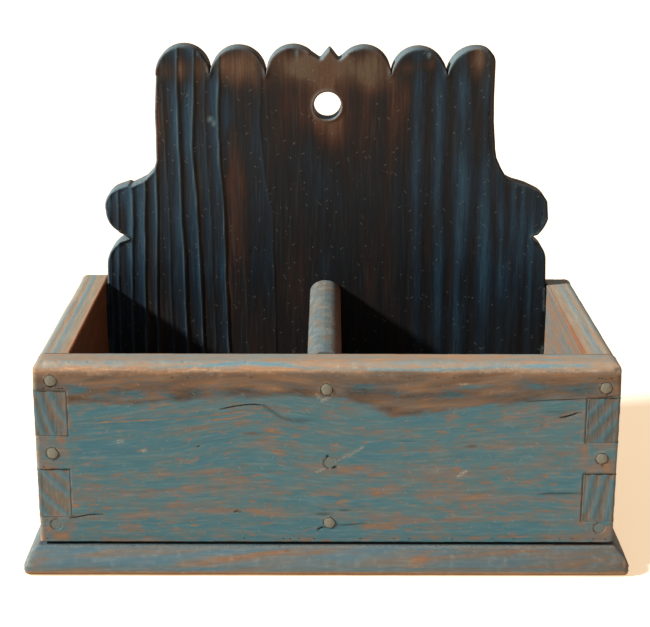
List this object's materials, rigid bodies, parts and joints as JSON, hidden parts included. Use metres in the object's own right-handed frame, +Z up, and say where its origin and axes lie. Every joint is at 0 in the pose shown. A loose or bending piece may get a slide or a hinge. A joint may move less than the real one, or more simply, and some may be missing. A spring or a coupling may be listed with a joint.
{
  "type": "wall candle box",
  "caption": "Open-topped wall box for candles: finger-jointed and pegged boards, a divider, a moulded base and a tall scalloped back board with a hanging hole.",
  "frame": {"origin": "centre of the base board's underside", "axes": "+X to the viewer's right along the front, +Y towards the wall behind the back board, +Z up"},
  "size_m": [0.306, 0.176, 0.2464],
  "materials": {
    "dark_paint": "near-black blue paint, crazed along the grain, rubbed through to dark red-brown wood",
    "blue_paint": "worn teal-blue milk paint rubbed through to orange-brown wood along the grain",
    "grey_blue_paint": "thin grey-blue paint with tan wear",
    "peg_wood": "end grain of whittled pegs, grimy, with traces of paint"
  },
  "bodies": {
    "root": {"back_board": "dark_paint", "left_side": "blue_paint", "right_side": "blue_paint", "front_board": "blue_paint", "base_board": "grey_blue_paint", "divider": "grey_blue_paint", "front_peg_left_top": "peg_wood", "front_peg_left_middle": "peg_wood", "front_peg_left_bottom": "peg_wood", "front_peg_right_top": "peg_wood", "front_peg_right_middle": "peg_wood", "front_peg_right_bottom": "peg_wood", "front_peg_divider_top": "peg_wood", "front_peg_divider_middle": "peg_wood", "front_peg_divider_bottom": "peg_wood", "back_peg_left_top": "peg_wood", "back_peg_left_bottom": "peg_wood", "back_peg_right_top": "peg_wood", "back_peg_right_bottom": "peg_wood", "back_peg_divider_top": "peg_wood", "back_peg_divider_middle": "peg_wood", "back_peg_divider_bottom": "peg_wood", "base_peg_left_front": "peg_wood", "base_peg_left_rear": "peg_wood", "base_peg_right_front": "peg_wood", "base_peg_right_rear": "peg_wood", "base_peg_divider_front": "peg_wood", "base_peg_divider_rear": "peg_wood", "base_peg_front_left": "peg_wood", "base_peg_front_right": "peg_wood", "base_peg_back_left": "peg_wood", "base_peg_back_right": "peg_wood"}
  },
  "joints": []
}
